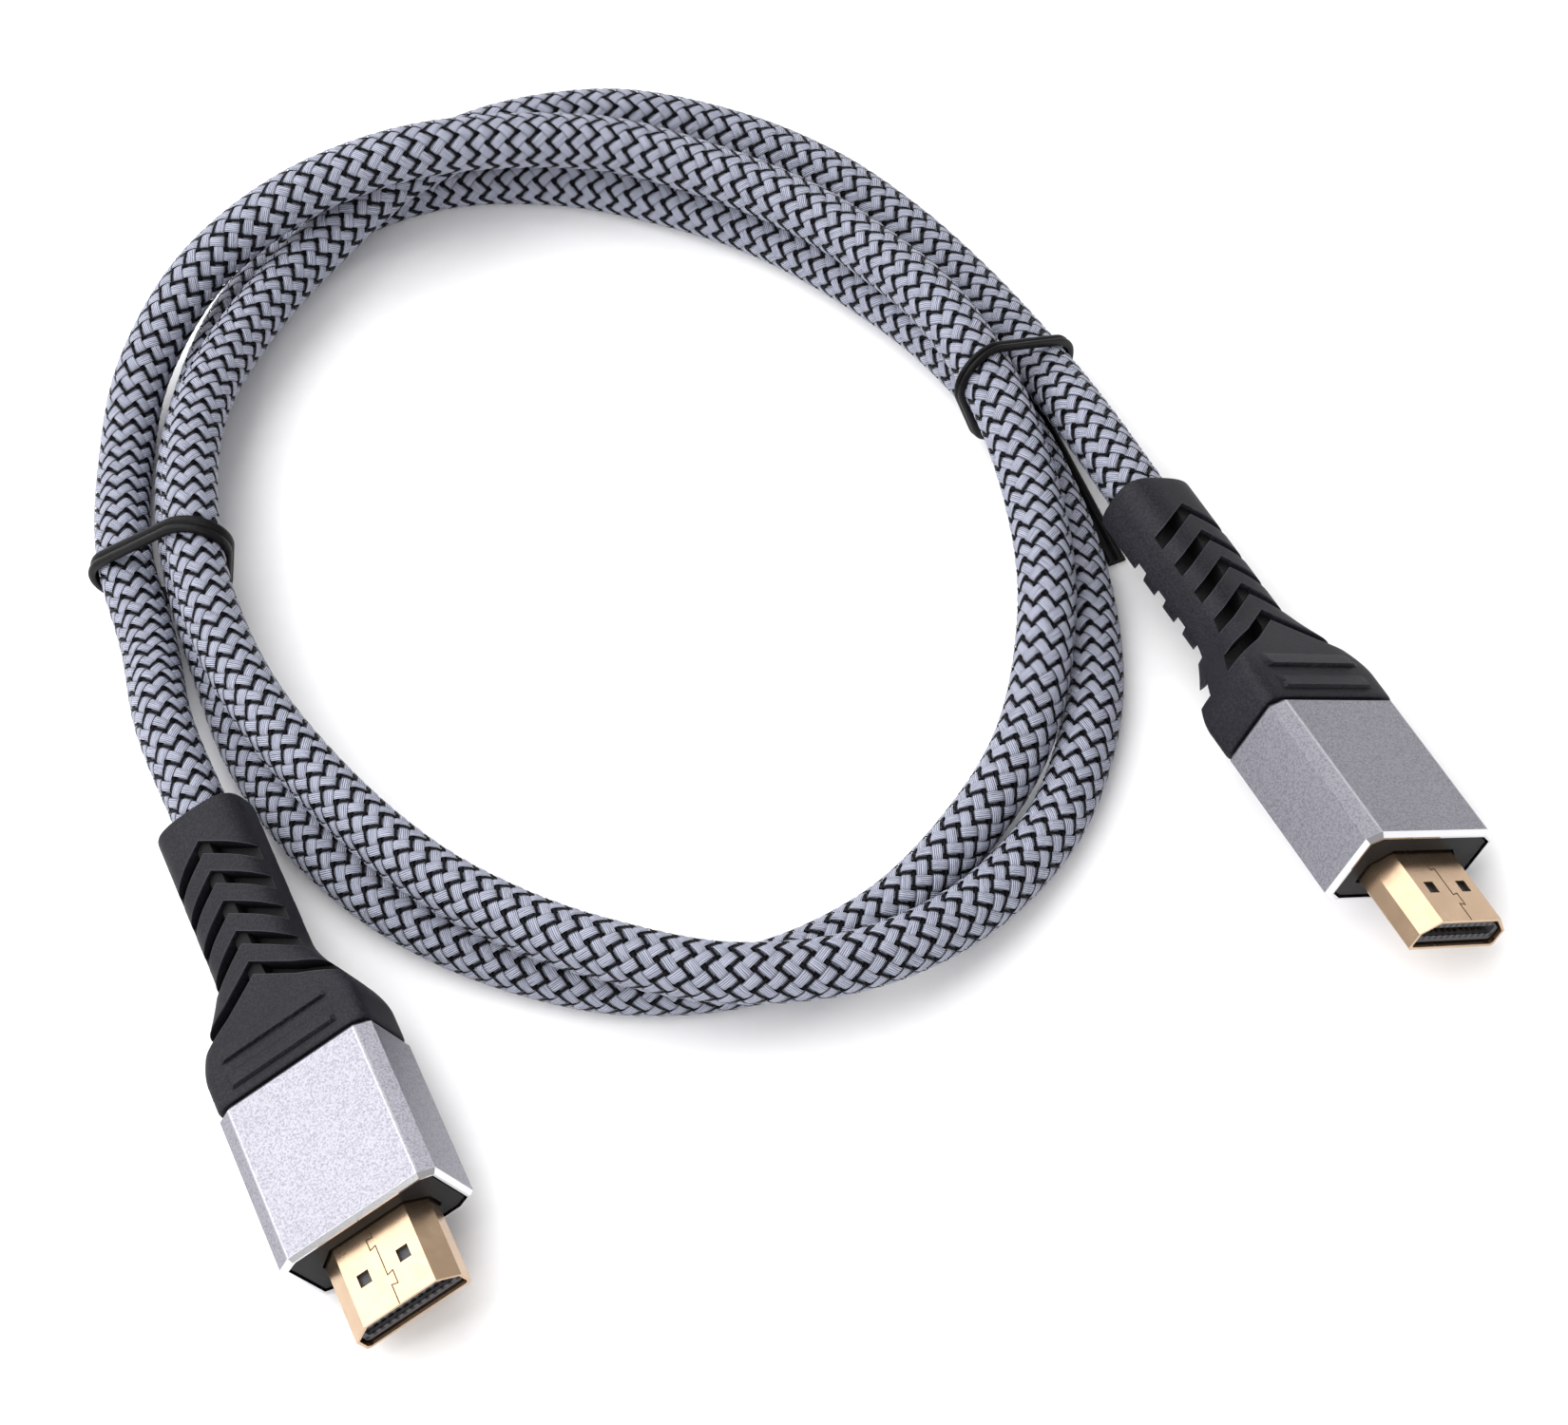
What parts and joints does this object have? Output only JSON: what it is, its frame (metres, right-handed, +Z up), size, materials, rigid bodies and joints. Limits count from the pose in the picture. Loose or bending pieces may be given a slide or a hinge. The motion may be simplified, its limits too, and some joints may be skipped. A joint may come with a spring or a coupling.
{
  "type": "video cable",
  "caption": "Braided video cable with a flat metal-housed plug on each end, tied in a loose round coil for storage or shelving",
  "frame": {"origin": "middle of the footprint, at floor level", "axes": "+Z up; +X from the left plug towards the right plug across the coil; +Y from the plugs towards the far side of the coil"},
  "size_m": [0.1556, 0.1688, 0.0209],
  "materials": {
    "braid": "woven grey and black yarn",
    "aluminium": "fine satin, bead blasted",
    "gold": "bright gold plate",
    "boot": "matt moulded",
    "black_plastic": "moulded",
    "tie": "satin"
  },
  "bodies": {
    "root": {"cable": "braid", "left_boot": "boot", "left_contact_01": "gold", "left_contact_02": "gold", "left_contact_03": "gold", "left_contact_04": "gold", "left_contact_05": "gold", "left_contact_06": "gold", "left_contact_07": "gold", "left_contact_08": "gold", "left_contact_09": "gold", "left_contact_10": "gold", "left_contact_11": "gold", "left_contact_12": "gold", "left_contact_13": "gold", "left_contact_14": "gold", "left_contact_15": "gold", "left_contact_16": "gold", "left_contact_17": "gold", "left_contact_18": "gold", "left_contact_19": "gold", "left_face_plate": "black_plastic", "left_housing": "aluminium", "left_insulator": "black_plastic", "left_shell": "gold", "left_tie": "tie", "right_boot": "boot", "right_contact_01": "gold", "right_contact_02": "gold", "right_contact_03": "gold", "right_contact_04": "gold", "right_contact_05": "gold", "right_contact_06": "gold", "right_contact_07": "gold", "right_contact_08": "gold", "right_contact_09": "gold", "right_contact_10": "gold", "right_contact_11": "gold", "right_contact_12": "gold", "right_contact_13": "gold", "right_contact_14": "gold", "right_contact_15": "gold", "right_contact_16": "gold", "right_contact_17": "gold", "right_contact_18": "gold", "right_contact_19": "gold", "right_face_plate": "black_plastic", "right_housing": "aluminium", "right_insulator": "black_plastic", "right_shell": "gold", "right_tie": "tie"}
  },
  "joints": []
}
